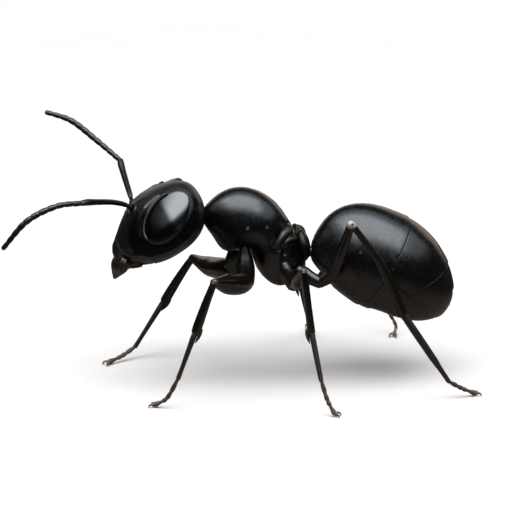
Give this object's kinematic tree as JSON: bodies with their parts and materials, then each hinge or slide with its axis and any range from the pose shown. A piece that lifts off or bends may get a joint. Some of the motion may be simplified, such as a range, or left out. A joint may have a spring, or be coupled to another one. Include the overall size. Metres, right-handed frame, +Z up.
{
  "type": "ant",
  "caption": "Large black carpenter ant worker in a walking stance, feelers raised, as a still museum model in life size.",
  "frame": {"origin": "on the floor, below the middle of the model's bounding box", "axes": "+Z up, +X from the head to the tail, +Y to the ant's right"},
  "size_m": [0.0172, 0.011, 0.0096],
  "materials": {
    "shell": "glossy black cuticle with a faint brown edge",
    "eye": "glossy black eye with very fine facets",
    "limb": "satin black-brown cuticle of legs, feelers and jaws",
    "foot": "reddish brown cuticle of the feet"
  },
  "bodies": {
    "root": {"head": "shell", "eye_left": "eye", "eye_right": "eye", "mandible_left": "limb", "mandible_right": "limb", "mouthparts": "limb", "scape_left": "limb", "flagellum_left": "limb", "scape_right": "limb", "flagellum_right": "limb", "pronotum": "shell", "mesothorax": "shell", "propodeum": "shell", "petiole": "shell", "gaster_plate_1": "shell", "gaster_plate_2": "shell", "gaster_plate_3": "shell", "gaster_plate_4": "shell", "coxa_left_front": "limb", "femur_left_front": "limb", "tibia_left_front": "limb", "basitarsus_left_front": "foot", "toes_left_front": "foot", "coxa_right_front": "limb", "femur_right_front": "limb", "tibia_right_front": "limb", "basitarsus_right_front": "foot", "toes_right_front": "foot", "coxa_left_middle": "limb", "femur_left_middle": "limb", "tibia_left_middle": "limb", "basitarsus_left_middle": "foot", "toes_left_middle": "foot", "coxa_right_middle": "limb", "femur_right_middle": "limb", "tibia_right_middle": "limb", "basitarsus_right_middle": "foot", "toes_right_middle": "foot", "coxa_left_hind": "limb", "femur_left_hind": "limb", "tibia_left_hind": "limb", "basitarsus_left_hind": "foot", "toes_left_hind": "foot", "coxa_right_hind": "limb", "femur_right_hind": "limb", "tibia_right_hind": "limb", "basitarsus_right_hind": "foot", "toes_right_hind": "foot"}
  },
  "joints": []
}
